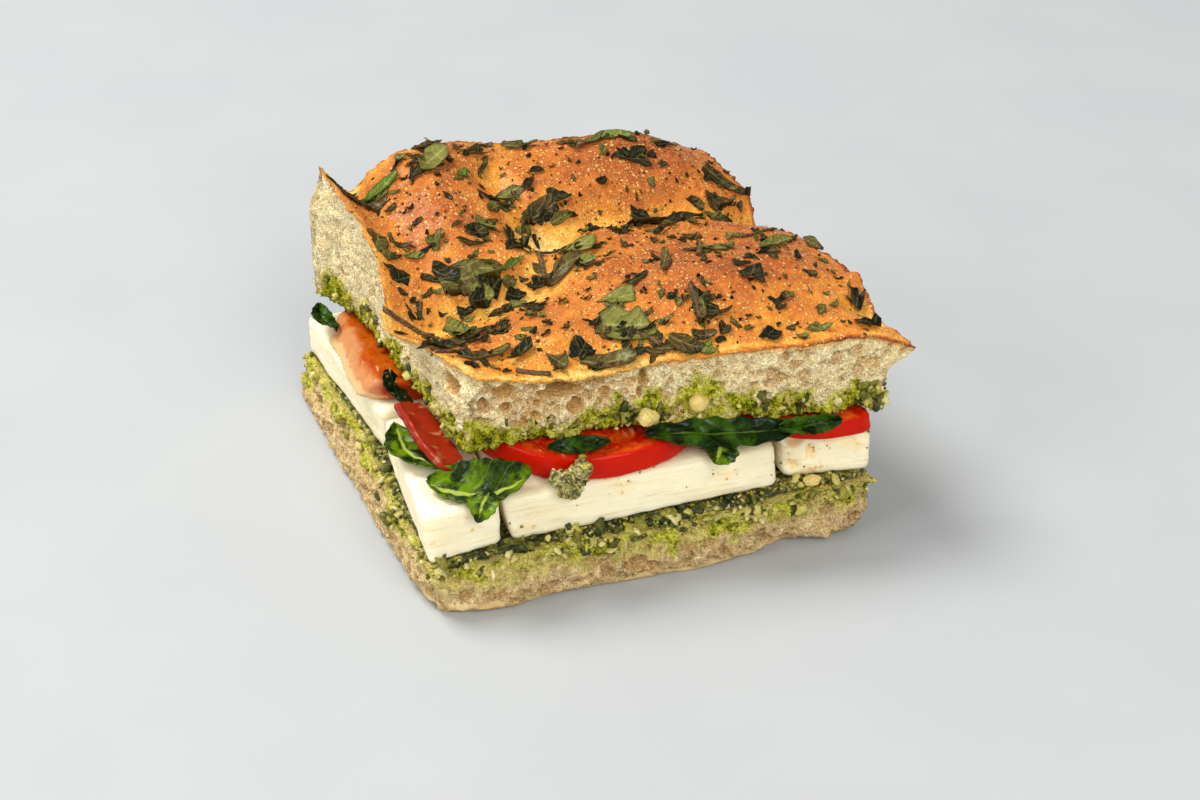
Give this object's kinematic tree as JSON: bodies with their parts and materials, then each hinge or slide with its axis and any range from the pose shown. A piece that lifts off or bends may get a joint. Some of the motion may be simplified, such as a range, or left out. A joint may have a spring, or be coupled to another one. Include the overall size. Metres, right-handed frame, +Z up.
{
  "type": "caprese sandwich",
  "caption": "Square caprese sandwich of herb-topped focaccia, filled with mozzarella slabs, tomato slices, basil leaves and pesto; a prepared food prop.",
  "frame": {"origin": "middle of the sandwich's box, on the surface that it stands on", "axes": "+Z up through the layers, +X to the right along the front cut, +Y towards the back"},
  "size_m": [0.126, 0.1144, 0.072],
  "materials": {
    "crust": "baked bread crust, satin, with pale crumb on its cut sides and dried herb flakes",
    "crumb": "open, moist bread crumb, matt, soaked with pesto near the filling",
    "cheese": "moist fresh cheese, satin, faintly see-through at its edges",
    "tomato": "wet, glossy skin and flesh",
    "basil": "fresh leaf, satin, with veins",
    "pesto": "oily, grainy paste",
    "nut": "smooth pine nut, satin"
  },
  "bodies": {
    "root": {"bottom_focaccia": "crumb", "top_focaccia": "crust", "mozzarella_front_left": "cheese", "mozzarella_front_middle": "cheese", "mozzarella_right": "cheese", "mozzarella_back_left": "cheese", "mozzarella_back_right": "cheese", "tomato_front": "tomato", "tomato_right": "tomato", "tomato_back_left": "tomato", "tomato_back_right": "tomato", "tomato_strip": "tomato", "basil_front_left": "basil", "basil_front_lobe": "basil", "basil_left": "basil", "basil_fold": "basil", "basil_long": "basil", "basil_tip": "basil", "basil_right": "basil", "basil_back_left": "basil", "basil_hollow": "basil", "pesto_blob": "pesto", "pesto_lower": "pesto", "pesto_upper": "pesto", "pine_nut_round": "nut", "pine_nut_broken": "nut", "pine_nut_lower": "nut"}
  },
  "joints": []
}
